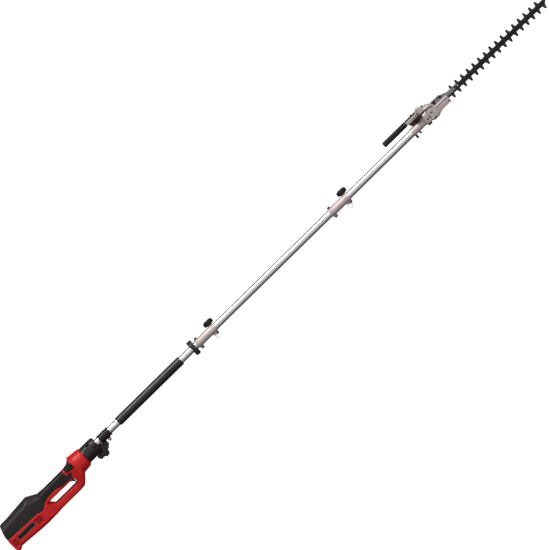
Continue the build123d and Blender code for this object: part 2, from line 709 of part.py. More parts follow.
def blade(name, y0):
    """A blade drawn flat with its height along sketch Y, then turned upright."""
    yoke = Pos(CRANK_X, CRANK_Z) * RectangleRounded(2 * YOKE_HALF_X, 2 * YOKE_HALF_Z, 4)
    strip_start = CRANK_X
    length = BLADE_END - strip_start
    strip = Pos((BLADE_END + strip_start) / 2, CRANK_Z) * Rectangle(length, 2 * BLADE_STRIP_HALF)
    outline = yoke + strip
    for (first_x, count), side in ((UPPER_TEETH, 1), (LOWER_TEETH, -1)):
        outline += [tooth(first_x + BLADE_PITCH * i, side) for i in range(count)]
    outline -= Pos(CRANK_X, CRANK_Z) * Rectangle(2 * YOKE_SLOT_X, 2 * YOKE_SLOT_Z)
    for x in BLADE_BOLTS:
        outline -= Pos(x, BLADE_BOLT_Z) * SlotCenterToCenter(2 * ECCENTRICITY + 1, 6.8)
    flat = extrude(outline, BLADE_THICKNESS)
    save(name, Pos(0, y0 + BLADE_THICKNESS, 0) * Rot(90, 0, 0) * flat)


def blade_mounting():
    plate = side_plate(
        ((2000, -8), (2052, -8), (2062, 2.5), (2109, 2.5), (2109, 15.5), (2069, 15.5),
         (2038, 27.5), (2000, 27.5)), GUIDE_Y[0], GUIDE_Y[1]
    )
    plate -= rod_y(5, 15, 18.4, CRANK_X, CRANK_Z)
    plate -= rod_y(GUIDE_Y[0] - 1, GUIDE_Y[1] + 1, 3, BLADE_BOLTS[0], BLADE_BOLT_Z)
    bar = block(GUIDE_START, OVERALL_LENGTH, GUIDE_Y[0], GUIDE_Y[1], GUIDE_Z[0], GUIDE_Z[1])
    bar = chamfer(bar.faces().sort_by(Axis.X)[-1].edges().filter_by(Axis.Y), 3)
    bolts = []
    nuts = []
    for x in BLADE_BOLTS:
        bolt = rod_y(GUIDE_Y[0], 19.5, 3, x, BLADE_BOLT_Z)
        bolt += rod_y(GUIDE_Y[0] - 2.4, GUIDE_Y[0], 5, x, BLADE_BOLT_Z)
        bolts.append(bolt)
        nut = hexagon_y(17.1, 19.9, 10, x, BLADE_BOLT_Z)
        nuts.append(nut - rod_y(16, 21, 3, x, BLADE_BOLT_Z))
        bar -= rod_y(GUIDE_Y[0] - 1, GUIDE_Y[1] + 1, 3, x, BLADE_BOLT_Z)
    holders = []
    for x, z in HOLDER_BOLTS:
        holder = rod_y(GUIDE_Y[0], CASE_BACK_Y, HOLDER_BOLT_RADIUS, x, z)
        holder += rod_y(GUIDE_Y[0] - 2.5, GUIDE_Y[0], 4.8, x, z)
        plate -= rod_y(GUIDE_Y[0] - 1, GUIDE_Y[1] + 1, HOLDER_BOLT_RADIUS, x, z)
        holders.append(holder)
    save("holder_plate", plate)
    save("guide_bar", bar)
    save("blade_bolts", *bolts, *nuts, *holders)


def main():
    os.makedirs("parts", exist_ok=True)
    handle_covers()
    handle_controls()
    handle_electrics()
    battery()
    motor()
    nose()
    pole_sections()
    pole_fittings()
    for number, start in enumerate(COUPLING_STARTS, 1):
        coupling(number, start)
    head_socket()
    lock_sector()
    pivot_cap()
    gears()
    case_screws = gear_case()
    release_pin = lever(case_screws)
    save("head_fasteners", *case_screws, release_pin)
    blade("blade_upper", BLADE_Y[0])
    blade("blade_lower", BLADE_Y[1])
    blade_mounting()


main()
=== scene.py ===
import math

import bpy
import numpy as np
from mathutils import Matrix, Vector


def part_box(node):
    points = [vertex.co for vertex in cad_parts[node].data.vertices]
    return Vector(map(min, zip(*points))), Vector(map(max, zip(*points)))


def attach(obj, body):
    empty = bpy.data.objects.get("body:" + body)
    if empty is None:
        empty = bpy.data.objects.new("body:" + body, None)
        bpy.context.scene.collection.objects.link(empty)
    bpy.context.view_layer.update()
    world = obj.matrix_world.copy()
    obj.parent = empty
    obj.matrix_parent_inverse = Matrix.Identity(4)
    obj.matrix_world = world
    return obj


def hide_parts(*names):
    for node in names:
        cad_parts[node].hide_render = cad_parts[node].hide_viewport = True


# Pole hedge trimmer. Lengths below are in millimetres from the rear of the handle (X), the
# middle plane (Y) and the pole axis (Z), and metres() puts them in the frame of the CAD.

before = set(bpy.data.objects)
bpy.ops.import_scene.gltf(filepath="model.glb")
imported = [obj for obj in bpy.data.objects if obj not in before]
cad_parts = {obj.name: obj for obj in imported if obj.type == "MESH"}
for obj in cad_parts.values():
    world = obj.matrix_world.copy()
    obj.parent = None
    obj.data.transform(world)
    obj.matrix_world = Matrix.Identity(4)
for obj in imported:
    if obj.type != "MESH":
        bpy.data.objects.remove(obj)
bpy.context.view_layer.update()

REAR_TUBE_START = 402.0
tube_low, tube_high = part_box("rear_tube")
ORIGIN = np.array(
    [tube_low.x - REAR_TUBE_START / 1000, 0.0, (tube_low.z + tube_high.z) / 2]
)


def metres(points):
    return np.asarray(points, float) / 1000 + ORIGIN


# ---------------------------------------------------------------- camera, floor and lights
ELEVATION = math.radians(12)
ROLL = math.radians(44.47)
DISTANCE = 20.0
MM_PER_PIXEL = 3.30
IMAGE_SIDE = 549
AIM = (1255.5, 0.0, 0.0)
AIM_DROP = 0.022
FLOOR_Z = -0.6
FLOOR_HALF = 60
# brightness of the studio, from its dark side (0) to the middle of its soft source (1)
SOURCE_FACING = (0.05, -0.84, 0.54)
SOURCE_STRENGTH = 0.98
SOURCE_STOPS = ((0.35, 0.15), (0.63, 0.30), (0.80, 0.66), (0.90, 1.0))
SOURCE_ENDS = (0.16, 1.0)


def grey(value):
    return (value, value, value, 1)


def make_camera():
    across = Vector((1, 0, 0))
    up = Vector((0, math.sin(ELEVATION), math.cos(ELEVATION)))
    back = Vector((0, -math.cos(ELEVATION), math.sin(ELEVATION)))
    right = across * math.cos(ROLL) - up * math.sin(ROLL)
    top = across * math.sin(ROLL) + up * math.cos(ROLL)
    data = bpy.data.cameras.new("camera")
    camera = bpy.data.objects.new("camera", data)
    bpy.context.scene.collection.objects.link(camera)
    target = Vector(metres(AIM)) - top * AIM_DROP
    place = target + back * DISTANCE
    turn = Matrix((right, top, back)).transposed().to_4x4()
    camera.matrix_world = Matrix.Translation(place) @ turn
    half_width = IMAGE_SIDE * MM_PER_PIXEL / 2000
    data.lens = data.sensor_width / 2 * DISTANCE / half_width
    data.clip_start = 1
    data.clip_end = 200
    bpy.context.scene.camera = camera


def sun(name, towards, power, spread):
    """A large soft lamp, far enough away to light the whole length evenly."""
    data = bpy.data.lights.new(name, "SUN")
    data.energy = power
    data.angle = math.radians(spread)
    lamp = bpy.data.objects.new(name, data)
    bpy.context.scene.collection.objects.link(lamp)
    lamp.rotation_euler = Vector(towards).to_track_quat("-Z", "Y").to_euler()


def make_stage():
    # one broad soft source in front of the tool and above it, fading to dark behind and below
    world = bpy.data.worlds.new("studio")
    bpy.context.scene.world = world
    world.use_nodes = True
    tree = world.node_tree
    where = tree.nodes.new("ShaderNodeTexCoord")
    facing = tree.nodes.new("ShaderNodeVectorMath")
    facing.operation = "DOT_PRODUCT"
    facing.inputs[1].default_value = SOURCE_FACING
    ramp = tree.nodes.new("ShaderNodeValToRGB")
    spread = tree.nodes.new("ShaderNodeMapRange")
    spread.inputs["From Min"].default_value = -1
    tree.links.new(where.outputs["Generated"], facing.inputs[0])
    tree.links.new(facing.outputs["Value"], spread.inputs["Value"])
    tree.links.new(spread.outputs["Result"], ramp.inputs["Fac"])
    tree.links.new(ramp.outputs["Color"], tree.nodes["Background"].inputs["Color"])
    stops = ramp.color_ramp.elements
    for stop, position, value in zip(stops, (0.0, 1.0), SOURCE_ENDS):
        stop.position = position
        stop.color = grey(value)
    for position, value in SOURCE_STOPS:
        stops.new(position).color = grey(value)
    tree.nodes["Background"].inputs["Strength"].default_value = SOURCE_STRENGTH
    mesh = bpy.data.meshes.new("floor")
    corners = ((-1, -1), (1, -1), (1, 1), (-1, 1))
    points = [(x * FLOOR_HALF, y * FLOOR_HALF, FLOOR_Z) for x, y in corners]
    mesh.from_pydata(points, [], [(0, 1, 2, 3)])
    floor = bpy.data.objects.new("floor", mesh)
    bpy.context.scene.collection.objects.link(floor)
    floor.data.materials.append(
        material("floor_paper", (252, 252, 252), 0.95, grain=(30, 0.01), mottle=(0.5, 0.004))
    )
    floor.visible_diffuse = False
    floor.visible_glossy = False
    sun("key", (-0.05, 0.34, -0.94), 2.4, 22)
    sun("fill", (-0.9, 0.5, -0.4), 0.25, 40)
    bpy.context.scene.view_settings.view_transform = "Standard"
    bpy.context.scene.view_settings.look = "None"


# ---------------------------------------------------------------- materials
def linear(channel):
    value = channel / 255
    return value / 12.92 if value <= 0.04045 else ((value + 0.055) / 1.055) ** 2.4


def colour(rgb, gain=1.0):
    return tuple(min(1.0, linear(c) * gain) for c in rgb) + (1.0,)


def material(
    name, rgb, rough, metallic=0.0, grain=(600, 0.1), mottle=(14, 0.06), stretch=(1, 1, 1),
    rough_spread=0.06, specular=0.5, second=None, scratches=0.0
):
    """A procedural finish: mottled colour, uneven roughness and a fine grain in the surface."""
    made = bpy.data.materials.new(name)
    made.use_nodes = True
    tree = made.node_tree
    shader = tree.nodes["Principled BSDF"]
    shader.inputs["Metallic"].default_value = metallic
    shader.inputs["Specular IOR Level"].default_value = specular
    where = tree.nodes.new("ShaderNodeTexCoord")
    mapping = tree.nodes.new("ShaderNodeMapping")
    mapping.inputs["Scale"].default_value = stretch
    tree.links.new(where.outputs["Object"], mapping.inputs["Vector"])

    def noise(scale, detail, source):
        node = tree.nodes.new("ShaderNodeTexNoise")
        node.inputs["Scale"].default_value = scale
        node.inputs["Detail"].default_value = detail
        tree.links.new(source, node.inputs["Vector"])
        return node.outputs["Fac"]

    patches = noise(mottle[0], 4, where.outputs["Object"])
    ramp = tree.nodes.new("ShaderNodeValToRGB")
    ramp.color_ramp.elements[0].position = 0.3
    ramp.color_ramp.elements[1].position = 0.7
    ramp.color_ramp.elements[0].color = colour(rgb, 1 - mottle[1])
    ramp.color_ramp.elements[1].color = colour(second or rgb, 1 + mottle[1])
    tree.links.new(patches, ramp.inputs["Fac"])
    tree.links.new(ramp.outputs["Color"], shader.inputs["Base Color"])

    uneven = noise(mottle[0] * 5, 5, mapping.outputs["Vector"])
    spread = tree.nodes.new("ShaderNodeMapRange")
    spread.inputs["From Min"].default_value = 0.3
    spread.inputs["From Max"].default_value = 0.7
    spread.inputs["To Min"].default_value = max(0.02, rough - rough_spread)
    spread.inputs["To Max"].default_value = min(1.0, rough + rough_spread)
    tree.links.new(uneven, spread.inputs["Value"])
    tree.links.new(spread.outputs["Result"], shader.inputs["Roughness"])

    fine = noise(grain[0], 3, mapping.outputs["Vector"])
    bump = tree.nodes.new("ShaderNodeBump")
    bump.inputs["Strength"].default_value = grain[1]
    bump.inputs["Distance"].default_value = 0.0006
    tree.links.new(fine, bump.inputs["Height"])
    if scratches:
        marks = noise(220, 2, mapping.outputs["Vector"])
        second_bump = tree.nodes.new("ShaderNodeBump")
        second_bump.inputs["Strength"].default_value = scratches
        second_bump.inputs["Distance"].default_value = 0.0004
        tree.links.new(marks, second_bump.inputs["Height"])
        tree.links.new(bump.outputs["Normal"], second_bump.inputs["Normal"])
        bump = second_bump
    tree.links.new(bump.outputs["Normal"], shader.inputs["Normal"])
    return made


ALONG = (0.04, 1, 1)
make_camera()
make_stage()
FINISH = {
    "red": material(
        "moulded_red", (176, 10, 14), 0.44, grain=(900, 0.16), mottle=(9, 0.05), specular=0.3
    ),
    "black": material(
        "moulded_black", (23, 15, 15), 0.40, grain=(900, 0.22), mottle=(9, 0.10), specular=0.32
    ),
    "soft": material(
        "soft_grip", (22, 15, 15), 0.52, grain=(1400, 0.30), mottle=(12, 0.08), specular=0.25
    ),
    "gloss": material("glossy_black", (16, 15, 16), 0.30, grain=(700, 0.06), mottle=(9, 0.08)),
    "foam": material(
        "foam_rubber", (16, 9, 9), 0.36, grain=(1500, 0.25), mottle=(20, 0.12), specular=0.42
    ),
    "tube": material(
        "drawn_aluminium", (206, 199, 202), 0.22, metallic=1.0, grain=(1500, 0.06),
        mottle=(5, 0.03), stretch=ALONG, rough_spread=0.05, scratches=0.05
    ),
    "cast": material(
        "blasted_casting", (176, 162, 161), 0.52, metallic=0.5, grain=(1300, 0.28),
        mottle=(30, 0.05), second=(182, 170, 169)
    ),
    "steel": material(
        "machined_steel", (168, 168, 170), 0.32, metallic=1.0, grain=(1100, 0.10),
        mottle=(25, 0.06)
    ),
    "zinc": material(
        "zinc_plate", (150, 149, 150), 0.36, metallic=1.0, grain=(700, 0.10), mottle=(40, 0.08)
    ),
    "dark": material(
        "blackened_steel", (38, 36, 37), 0.40, metallic=0.7, grain=(800, 0.14), mottle=(40, 0.15)
    ),
    "blade": material(
        "coated_blade", (52, 48, 47), 0.38, metallic=0.75, grain=(900, 0.10), mottle=(30, 0.14),
        stretch=ALONG, scratches=0.10
    ),
    "plate": material(
        "holder_steel", (128, 128, 132), 0.36, metallic=0.9, grain=(900, 0.10), mottle=(30, 0.08)
    ),
    "board": material("circuit_board", (24, 78, 52), 0.45, grain=(500, 0.10), mottle=(60, 0.10)),
    "wrap": material("cell_wrap", (60, 96, 150), 0.35, grain=(300, 0.04), mottle=(30, 0.05)),
    "label": material(
        "label_blank", (9, 9, 10), 0.50, grain=(700, 0.08), mottle=(20, 0.08), specular=0.2
    ),
    "border": material("label_border", (66, 66, 69), 0.4, grain=(700, 0.06), mottle=(20, 0.05)),
    "nylon": material("bush_nylon", (210, 205, 190), 0.5, grain=(500, 0.10), mottle=(20, 0.05)),
}
NODE_FINISH = {
    "red": ("housing_left", "housing_right"),
    "black": (
        "rear_hood", "switch_module", "nose_coupling", "strap_collar", "hand_stop_ring", "trigger",
        "battery_case", "nose_clamp_knob", "coupling_1_knob", "coupling_2_knob", "lock_sector",
    ),
    "soft": ("grip_cover", "lever_grip"),
    "gloss": ("lock_off_button", "battery_release_button"),
    "foam": ("foam_grip",),
    "tube": ("rear_tube", "middle_tube", "front_tube"),
    "cast": (
        "coupling_1_body", "coupling_2_body", "head_socket", "gear_case_front", "gear_case_back",
        "lever_arm", "pivot_cap",
    ),
    "steel": (
        "motor_stator", "rotor", "shaft_coupler", "rear_shaft", "middle_shaft", "front_shaft",
        "input_bevel", "idler_bevel", "output_shaft", "crank_gear", "head_bearings",
    ),
    "zinc": (
        "housing_fasteners", "battery_terminals", "coupling_1_pull_pin", "coupling_2_pull_pin",
    ),
    "dark": (
        "pivot_bolt", "head_fasteners", "guide_bar", "release_lever", "lock_pawl", "blade_bolts",
        "coupling_1_bolts", "coupling_2_bolts",
    ),
    "blade": ("blade_upper", "blade_lower"),
    "plate": ("holder_plate",),
    "board": ("control_board",),
    "wrap": ("battery_cells",),
    "label": ("label_plates",),
    "nylon": ("rear_tube_bushes", "middle_tube_bushes", "front_tube_bushes"),
}


def finish_nodes():
    for finish, names in NODE_FINISH.items():
        for name in names:
            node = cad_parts[name]
            node.data.materials.clear()
            node.data.materials.append(FINISH[finish])


# ---------------------------------------------------------------- meshes from distance fields
# A field is negative inside the piece and gives millimetres to its surface outside.
class Field:
    """A regular grid of points, and the distance shapes that pieces are cut from."""

    def __init__(self, low, high, step):
        self.step = step
        self.axes = [np.arange(a, b + step, step) for a, b in zip(low, high)]
        self.x, self.y, self.z = np.meshgrid(*self.axes, indexing="ij", sparse=True)

    def box(self, low, high):
        gaps = [
            abs(v - (a + b) / 2) - (b - a) / 2
            for v, a, b in zip((self.x, self.y, self.z), low, high)
        ]
        return np.maximum(np.maximum(gaps[0], gaps[1]), gaps[2])

    def rod_x(self, x0, x1, radius, y=0.0, z=0.0):
        round_part = np.hypot(self.y - y, self.z - z) - radius
        return np.maximum(round_part, abs(self.x - (x0 + x1) / 2) - (x1 - x0) / 2)

    def rod_y(self, y0, y1, radius, x, z):
        round_part = np.hypot(self.x - x, self.z - z) - radius
        return np.maximum(round_part, abs(self.y - (y0 + y1) / 2) - (y1 - y0) / 2)

    def rod_z(self, z0, z1, radius, x, y=0.0):
        round_part = np.hypot(self.x - x, self.y - y) - radius
        return np.maximum(round_part, abs(self.z - (z0 + z1) / 2) - (z1 - z0) / 2)

    def outline(self, points):
        """Signed distance to a closed outline in the XZ plane."""
        px, pz = np.broadcast_arrays(self.x, self.z)
        nearest = np.full(px.shape, 1e9)
        inside = np.zeros(px.shape, bool)
        for (ax, az), (bx, bz) in zip(points, points[1:] + points[:1]):
            ex, ez = bx - ax, bz - az
            share = ((px - ax) * ex + (pz - az) * ez) / (ex * ex + ez * ez)
            share = np.clip(share, 0, 1)
            nearest = np.minimum(nearest, np.hypot(px - ax - share * ex, pz - az - share * ez))
            if az != bz:
                crosses = (pz < az) != (pz < bz)
                inside ^= crosses & (px < ax + (pz - az) * ex / ez)
        return np.where(inside, -nearest, nearest)


def smooth_max(a, b, reach):
    blend = np.clip(0.5 + 0.5 * (a - b) / reach, 0, 1)
    return b + (a - b) * blend + reach * blend * (1 - blend)


def smooth_min(a, b, reach):
    return -smooth_max(-a, -b, reach)


def union(*fields):
    joined = fields[0]
    for other in fields[1:]:
        joined = np.minimum(joined, other)
    return joined


def along(axis, part):
    return tuple(part if a == axis else slice(None) for a in range(3))


def surface_mesh(name, field, space):
    """A closed mesh where the field crosses zero: one point in each cell that it crosses."""
    step = space.step
    field = np.pad(field, 1, constant_values=step)
    starts = [a[0] - step for a in space.axes]
    cells = tuple(n - 1 for n in field.shape)
    total = np.zeros(cells + (3,), np.float32)
    count = np.zeros(cells, np.float32)
    inside = field < 0
    for axis in range(3):
        near, far = along(axis, slice(None, -1)), along(axis, slice(1, None))
        crossing = inside[far] != inside[near]
        share = np.where(crossing, field[near] / (field[near] - field[far] + 1e-12), 0)
        others = [a for a in range(3) if a != axis]
        for i in (0, 1):
            for j in (0, 1):
                pick = [slice(None)] * 3
                for a, k in zip(others, (i, j)):
                    pick[a] = slice(k, cells[a] + k)
                hit = crossing[tuple(pick)]
                count += hit
                total[..., axis] += np.where(hit, share[tuple(pick)], 0)
                total[..., others[0]] += hit * i
                total[..., others[1]] += hit * j
    used = count > 0
    index = np.full(cells, -1, np.int64)
    index[used] = np.arange(used.sum())
    offset = total[used] / count[used][:, None]
    points = (np.argwhere(used) + offset) * step + np.array(starts)
    faces = []
    for axis in range(3):
        near, far = along(axis, slice(None, -1)), along(axis, slice(1, None))
        first, second = [a for a in range(3) if a != axis]
        at = np.argwhere(inside[far] != inside[near])
        at = at[(at[:, first] > 0) & (at[:, second] > 0)]
        outward = inside[near][tuple(at.T)] != (axis == 1)
        corners = []
        for i, j in ((0, 0), (1, 0), (1, 1), (0, 1)):
            moved = at.copy()
            moved[:, first] -= i
            moved[:, second] -= j
            corners.append(index[tuple(moved.T)])
        quads = np.stack(corners, 1)
        quads[~outward] = quads[~outward][:, ::-1]
        faces.append(quads)
    mesh = bpy.data.meshes.new(name)
    mesh.from_pydata(metres(points).tolist(), [], np.concatenate(faces).tolist())
    mesh.shade_smooth()
    return mesh


def add_piece(name, mesh, body, finish, replaced=()):
    piece = bpy.data.objects.new(name, mesh)
    bpy.context.scene.collection.objects.link(piece)
    mesh.materials.append(FINISH[finish])
    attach(piece, body)
    if replaced:
        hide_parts(*replaced)
    return piece


def add_field(name, field, space, body, finish, replaced=()):
    return add_piece(name, surface_mesh(name, field, space), body, finish, replaced)


# ---------------------------------------------------------------- handle covers
# x, lowest z, highest z, half width and corner radius along the handle
STATIONS = np.array((
    (0, -73, 24, 38, 14), (15, -73, 26.5, 38, 14), (24, -66.5, 27, 38, 14),
    (43, -67.5, 27.5, 38, 14), (109, -73, 33, 38, 15), (140, -74, 36, 38, 15),
    (178, -74, 15.5, 31, 12), (206, -74, 15.5, 20, 10), (290, -74, 16, 20, 10),
    (310, -71, 17.5, 27, 12), (320, -62, 19, 32, 14), (327, -55, 33, 36.5, 22),
    (341, -42, 33, 37.5, 34), (376, -38.5, 30, 34, 31),
))
HANDLE_END = 376
WALL = 3.0
SEAM = 0.15
LOOP = [(184, -26), (301, -26), (301, -49.5), (201, -49.5)]
HOOD = [(-5, -18), (76, -21), (132, -23), (155, -30), (178, -15.2), (178, 60), (-5, 60)]
GRIP = [
    (178, -15.2), (184, -12.5), (234, -10.6), (254, -21), (297, -21), (309, -4.5),
    (287, -4.5), (287, 60), (178, 60),
]
BEZEL = [(295, 0.5), (326.5, 0.5), (326.5, 19.5), (295, 19.5)]
REAR_LEAN = [(-5, 60), (13, 60), (12, 25), (3, 3), (0, -18), (-5, -18)]
LABEL = [(31, -30), (101, -30), (109, -46), (31, -46)]
VENTS = (
    [(6, -31.5), (27, -31.5), (27, -58), (6, -58)],
    [(107, -31.5), (134, -31.5), (141, -38), (134, -58), (116, -58)],
)
VENT_PITCH = 6.2
HOUSING_SCREWS = ((225, -64, 20), (284, -66, 20), (352, -20, 37.2))
BATTERY_MOUTH = ((-9, -35, -62.5), (4, 35, -12.5))
BATTERY_ROOM = ((-9, -35, -62.5), (125, 35, -12.5))
RELEASE_SLOT = ((-9, -20.5, -14), (5.6, 20.5, -7.5))
WIRE_WAY = ((126, -12, -22), (132, 12, -4))
TRIGGER_SLOT = ((245, -6.6, -34), (301, 6.6, -21))
BUTTON_SLOT = ((299.5, -9.4, 6), (326.5, 9.4, 40))
BULKHEAD_X = 128.5
BULKHEAD_HALF = 1.5
SUNK_FACE = 37.2
LEDGE = 1.6


def handle_section(x, y, z):
    fine = np.arange(-4, HANDLE_END + 5, 0.5)
    soften = np.hanning(11)
    soften /= soften.sum()
    values = []
    for column in range(1, 5):
        raw = np.interp(fine, STATIONS[:, 0], STATIONS[:, column])
        padded = np.pad(raw, 5, mode="edge")
        values.append(np.interp(x, fine, np.convolve(padded, soften, "valid")))
    low, high, half, corner = values
    gap_y = abs(y) - (half - corner)
    gap_z = abs(z - (low + high) / 2) - ((high - low) / 2 - corner)
    outside = np.hypot(np.maximum(gap_y, 0), np.maximum(gap_z, 0))
    return outside + np.minimum(np.maximum(gap_y, gap_z), 0) - corner


def handle_skin(space):
    """The handle's outer surface, with its hand loop, before it is hollowed."""
    x, y, z = space.x, space.y, space.z
    skin = handle_section(x, y, z)
    # a fine crease under the hood's top edge, and the facet where the hood narrows
    top = np.interp(x, STATIONS[:, 0], STATIONS[:, 2])
    crease = np.maximum(np.maximum(abs(z - top + 9) - 0.8, x - 124), -(skin + 0.7))
    facet = (x - 121) * 0.30 + (abs(y) - 38) * 0.80 + (z - 27) * 0.52
    skin = smooth_max(np.maximum(skin, -crease), facet - np.clip(x - 168, 0, 60) * 1.2, 1.5)
    loop = space.outline(LOOP)
    flare = np.clip(abs(y) - 14, 0, 12) * 0.30 * np.clip((z + 44) / 8, 0, 1)
    skin = smooth_max(skin, -(loop + 1 - flare), 4)
    skin = smooth_max(skin, -space.outline(REAR_LEAN), 1.5)
    skin = np.maximum(skin, abs(x - HANDLE_END / 2) - HANDLE_END / 2)
    # the collar's front edge, rolled in
    return smooth_max(skin, (np.hypot(y, z + 3) - 33.5) * 0.7 + (x - 374) * 0.7, 2)


def handle_openings(space):
    """What is cut through the handle's walls, and the screens behind its vents."""
    x, y, z = space.x, space.y, space.z
    cuts = [
        space.box(*BATTERY_MOUTH),
        space.box(*RELEASE_SLOT),
        np.maximum(np.hypot(y, z + 3) - 28.05, 371 - x),
        space.box(*WIRE_WAY),
        space.box(*TRIGGER_SLOT),
        space.box(*BUTTON_SLOT),
    ]
    for screw_x, screw_z, half in HOUSING_SCREWS:
        cuts.append(space.rod_y(half - 1.7, half + 9, 3.8, screw_x, screw_z))
    recess = union(*(space.outline(shape) for shape in VENTS))
    sunk = np.maximum(recess, SUNK_FACE - abs(y))
    row = abs((z + 31) % VENT_PITCH - VENT_PITCH / 2) - 1.3
    slots = np.maximum(np.maximum(recess + 1.6, row), 34 - abs(y))
    backing = np.maximum(recess - 1.5, abs(abs(y) - 35.2) - 0.4)
    label = np.maximum(space.outline(LABEL) - 0.6, SUNK_FACE - abs(y))
    return union(*cuts, sunk, slots, label, backing - 0.2), backing


def handle_covers():
    space = Field((-2, -40, -76), (378, 40, 38), 1.1)
    x, y = space.x, space.y
    skin = handle_skin(space)
    hollow = np.maximum(skin + WALL, BULKHEAD_HALF - abs(x - BULKHEAD_X))
    cut, backing = handle_openings(space)
    hood, grip, bezel = (space.outline(shape) for shape in (HOOD, GRIP, BEZEL))
    black = union(hood, grip, bezel)

    def shell(inset, inside, region):
        return np.maximum(np.maximum(np.maximum(skin + inset, -inside), -cut), region)

    # the red cover steps out below the hood, with a sloping ledge along the joint
    slope = LEDGE * np.clip(1 - hood / 4.5, 0, 1)
    red = shell(np.where(x < 172, slope, 0), hollow, SEAM - black)
    hood_hollow = union(hollow + LEDGE, np.maximum(space.box(*BATTERY_ROOM), hollow))
    rear = shell(LEDGE, hood_hollow, hood + SEAM)
    soft = shell(0.5, hollow, union(grip, bezel) + SEAM)
    pieces = (
        ("cover_left", np.maximum(red, SEAM - y), "red", "red_plastic", ("housing_left",)),
        ("cover_right", np.maximum(red, SEAM + y), "red", "red_plastic", ("housing_right",)),
        ("cover_hood", rear, "black", "black_plastic", ("rear_hood",)),
        ("cover_grip", soft, "soft", "soft_grip", ("grip_cover",)),
        ("vent_screens", np.maximum(backing, 4 - x), "gloss", "black_plastic", ()),
    )
    for name, field, finish, slot, nodes in pieces:
        add_field(name, field, space, "handle", finish, nodes)


def label_plates():
    """Blank black plates with a raised grey border."""
    for name, side in (("label_right", -1), ("label_left", 1)):
        space = Field((29, 38 * side - 1, -48), (112, 38 * side + 1, -28), 0.4)
        flat = space.outline(LABEL)
        height = side * space.y
        plate = np.maximum(np.maximum(flat + 0.5, height - 38.2), 37.3 - height)
        border = np.maximum(abs(flat + 1.3) - 0.75, abs(height - 38.05) - 0.4)
        add_field(name, plate, space, "handle", "label", ("label_plates",))
        add_field(name + "_border", border, space, "handle", "border")


# ---------------------------------------------------------------- motor nose with its clamp
BOLT = (427, -38.5)
EAR = [(409, -29), (414, -43), (421, -47), (433, -47), (463, -30), (463, -15), (430, -15)]


def nose():
    space = Field((370, -32, -50), (465, 32, 29), 0.8)
    x, y, z = space.x, space.y, space.z
    radius = np.hypot(y, z + 3)
    lift = np.degrees(np.arctan2(z + 3, -abs(y)))
    lift = 180 - np.where(lift < 0, lift + 360, lift)
    body = smooth_max(radius - 29.9, x - 434, 8)
    # a ribbed band on each side, with a groove above and below it
    band = np.maximum(abs(lift - 24) * 0.5 - 4.6, abs(x - 403) - 20)
    ribs = 0.3 + 0.3 * np.sin(x * 2 * math.pi / 4)
    body = np.where(band < 0, np.maximum(body, radius - 29.9 + ribs), body)
    for angle, floor in ((12.5, 28.2), (36, 28.2), (58, 29), (90, 29.3)):
        line = abs(lift - angle) * 0.5 - 0.7
        body = np.maximum(body, -np.maximum(np.maximum(line, abs(x - 402) - 20), floor - radius))
    for centre, angle in ((407, 52), (422, 6)):
        notch = np.maximum(abs(x - centre) - 6, abs(lift - angle) * 0.5 - 4)
        body = smooth_max(body, -np.maximum(notch, 21 - radius), 1)
    body = np.maximum(body, 376.2 - x)
    ear = np.maximum(space.outline(EAR) + 1.0, abs(y) - 8) - 1.0
    hub = space.rod_y(-9, 30, 8.2, *BOLT)
    solid = smooth_min(body, np.maximum(smooth_min(ear, hub, 3), -space.rod_x(423, 470, 17.6)), 2)
    solid = union(solid, space.rod_x(371, 377, 27.9, z=-3))
    split = space.box((409, -0.9, -50), (466, 0.9, -11))
    cut = union(
        space.rod_x(360, 397, 26.2), space.rod_x(396, 470, 12.6), split,
        space.rod_y(-6, 32, 4.1, *BOLT), space.rod_y(-9.5, -6.5, 5.2, *BOLT),
    )
    field = np.maximum(solid, -cut)
    add_field("nose_cover", field, space, "handle", "black", ("nose_coupling",))


# ---------------------------------------------------------------- gear case
PIVOT_X = 1957
CRANK = (2002, 3)
CASE = [
    (1968, -14.6), (1975, -20), (1997, -20), (2013, -14), (2020, -13), (2059, -13), (2059, 6),
    (2053, 14), (2009, 14), (2004, 27), (1990, 37), (1968, 37),
]
CASE_SCREWS = ((1995.5, 24.5, -16), (1982, 9.5, -16), (1983, -13.5, -16), (2052, -9, -11.5))


